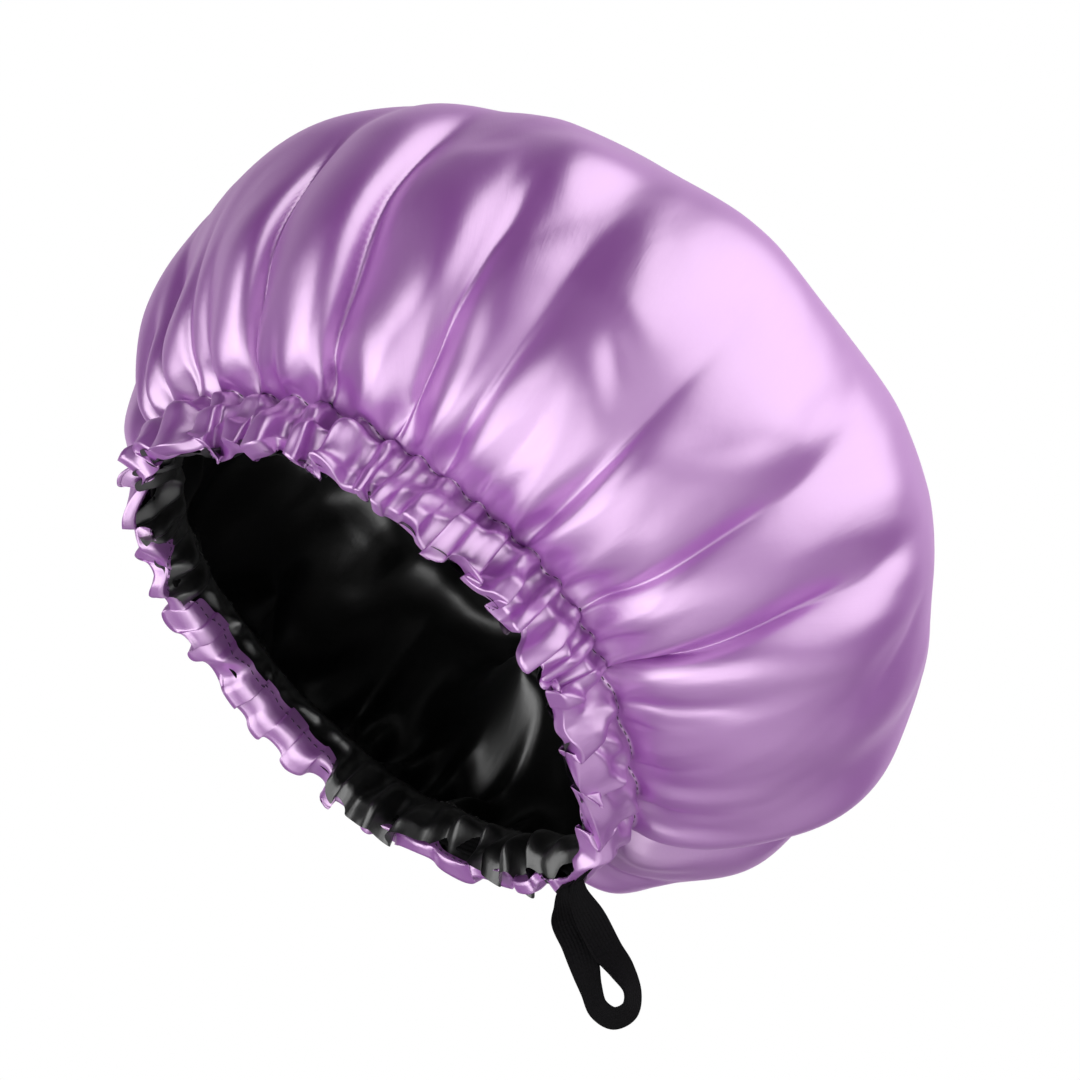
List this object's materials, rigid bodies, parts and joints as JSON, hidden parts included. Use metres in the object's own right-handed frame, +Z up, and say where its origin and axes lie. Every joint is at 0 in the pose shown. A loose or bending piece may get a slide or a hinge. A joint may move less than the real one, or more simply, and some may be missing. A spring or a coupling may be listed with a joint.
{
  "type": "satin sleep cap",
  "caption": "Puffed double-layer satin sleep cap with a gathered elastic casing round its mouth and a pull-out elastic loop at the nape.",
  "frame": {"origin": "centre of the mouth, where the head holds the cap, in the plane of its gathered rim", "axes": "+Z up as worn, the wearer faces -Y, +X is the wearer's left; the cap's own axis leans back from +Z"},
  "size_m": [0.3174, 0.246, 0.2841],
  "materials": {
    "lilac_satin": "glossy polyester satin",
    "black_satin": "glossy polyester satin",
    "black_elastic": "matte knitted flat elastic",
    "plum_thread": "polyester sewing thread",
    "black_thread": "polyester sewing thread"
  },
  "bodies": {
    "cap": {"outer_shell": "lilac_satin", "lining": "black_satin", "casing_elastic_left": "black_elastic", "casing_elastic_right": "black_elastic", "elastic_lap_thread": "black_thread", "casing_needle_thread": "plum_thread", "casing_bobbin_thread": "black_thread", "rim_seam_thread": "plum_thread", "exit_tack_left": "plum_thread", "exit_tack_right": "plum_thread"},
    "loop_legs": {"loop_leg_right": "black_elastic", "loop_leg_left": "black_elastic"},
    "loop_end": {"loop_bight": "black_elastic"}
  },
  "joints": [
    {"name": "loop_swing", "type": "hinge", "parent": "cap", "child": "loop_legs", "pos_m": [0, 0.0677, -0.0625], "axis": [1, 0, 0], "range_deg": [-70, 60]},
    {"name": "loop_pull", "type": "slide", "parent": "loop_legs", "child": "loop_end", "axis": [0, 0, -1], "range_m": [0, 0.03], "stiffness_N_per_m": 40, "deforming": ["loop_leg_right", "loop_leg_left"]}
  ]
}
